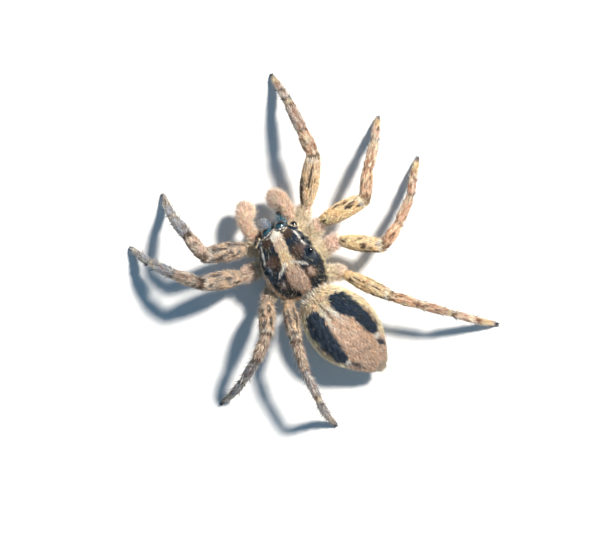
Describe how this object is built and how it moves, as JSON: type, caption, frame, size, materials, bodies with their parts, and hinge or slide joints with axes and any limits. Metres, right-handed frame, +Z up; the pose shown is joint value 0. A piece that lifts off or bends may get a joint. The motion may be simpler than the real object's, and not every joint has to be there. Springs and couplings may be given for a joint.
{
  "type": "jumping spider",
  "caption": "Still model of a jumping spider standing on eight legs, with a pale stripe and black patches on its back.",
  "frame": {"origin": "on the floor that the feet stand on, under the middle of the leg span", "axes": "+Z up, head towards -Y, the animal's own left towards +X"},
  "size_m": [0.0152, 0.0174, 0.0035],
  "materials": {
    "tan_hair": "short tan hair with dark brown mottling, on the legs",
    "coxa_skin": "pinkish beige skin with thin pale hair",
    "carapace_hair": "short flat black hair with a beige stripe and cream side bands",
    "abdomen_hair": "short flat beige hair with two long black patches and cream sides",
    "palp_hair": "dense standing beige hair",
    "chelicera": "dark glossy horn with a blue-green sheen",
    "lens": "clear polished lens over black",
    "sternum_skin": "smooth tan shell with thin hair"
  },
  "bodies": {
    "root": {"abdomen": "abdomen_hair", "carapace": "carapace_hair", "chelicera_left": "chelicera", "chelicera_right": "chelicera", "eye_anterior_lateral_left": "lens", "eye_anterior_lateral_right": "lens", "eye_anterior_median_left": "lens", "eye_anterior_median_right": "lens", "eye_posterior_lateral_left": "lens", "eye_posterior_lateral_right": "lens", "eye_posterior_median_left": "lens", "eye_posterior_median_right": "lens", "left_leg_1_coxa": "coxa_skin", "left_leg_1_femur": "tan_hair", "left_leg_1_foot": "tan_hair", "left_leg_1_patella": "tan_hair", "left_leg_1_tibia": "tan_hair", "left_leg_2_coxa": "coxa_skin", "left_leg_2_femur": "tan_hair", "left_leg_2_foot": "tan_hair", "left_leg_2_patella": "tan_hair", "left_leg_2_tibia": "tan_hair", "left_leg_3_coxa": "coxa_skin", "left_leg_3_femur": "tan_hair", "left_leg_3_foot": "tan_hair", "left_leg_3_patella": "tan_hair", "left_leg_3_tibia": "tan_hair", "left_leg_4_coxa": "coxa_skin", "left_leg_4_femur": "tan_hair", "left_leg_4_foot": "tan_hair", "left_leg_4_patella": "tan_hair", "left_leg_4_tibia": "tan_hair", "palp_left_arm": "palp_hair", "palp_left_club": "palp_hair", "palp_right_arm": "palp_hair", "palp_right_club": "palp_hair", "pedicel": "coxa_skin", "right_leg_1_coxa": "coxa_skin", "right_leg_1_femur": "tan_hair", "right_leg_1_foot": "tan_hair", "right_leg_1_patella": "tan_hair", "right_leg_1_tibia": "tan_hair", "right_leg_2_coxa": "coxa_skin", "right_leg_2_femur": "tan_hair", "right_leg_2_foot": "tan_hair", "right_leg_2_patella": "tan_hair", "right_leg_2_tibia": "tan_hair", "right_leg_3_coxa": "coxa_skin", "right_leg_3_femur": "tan_hair", "right_leg_3_foot": "tan_hair", "right_leg_3_patella": "tan_hair", "right_leg_3_tibia": "tan_hair", "right_leg_4_coxa": "coxa_skin", "right_leg_4_femur": "tan_hair", "right_leg_4_foot": "tan_hair", "right_leg_4_patella": "tan_hair", "right_leg_4_tibia": "tan_hair", "spinnerets": "abdomen_hair", "sternum": "sternum_skin"}
  },
  "joints": []
}
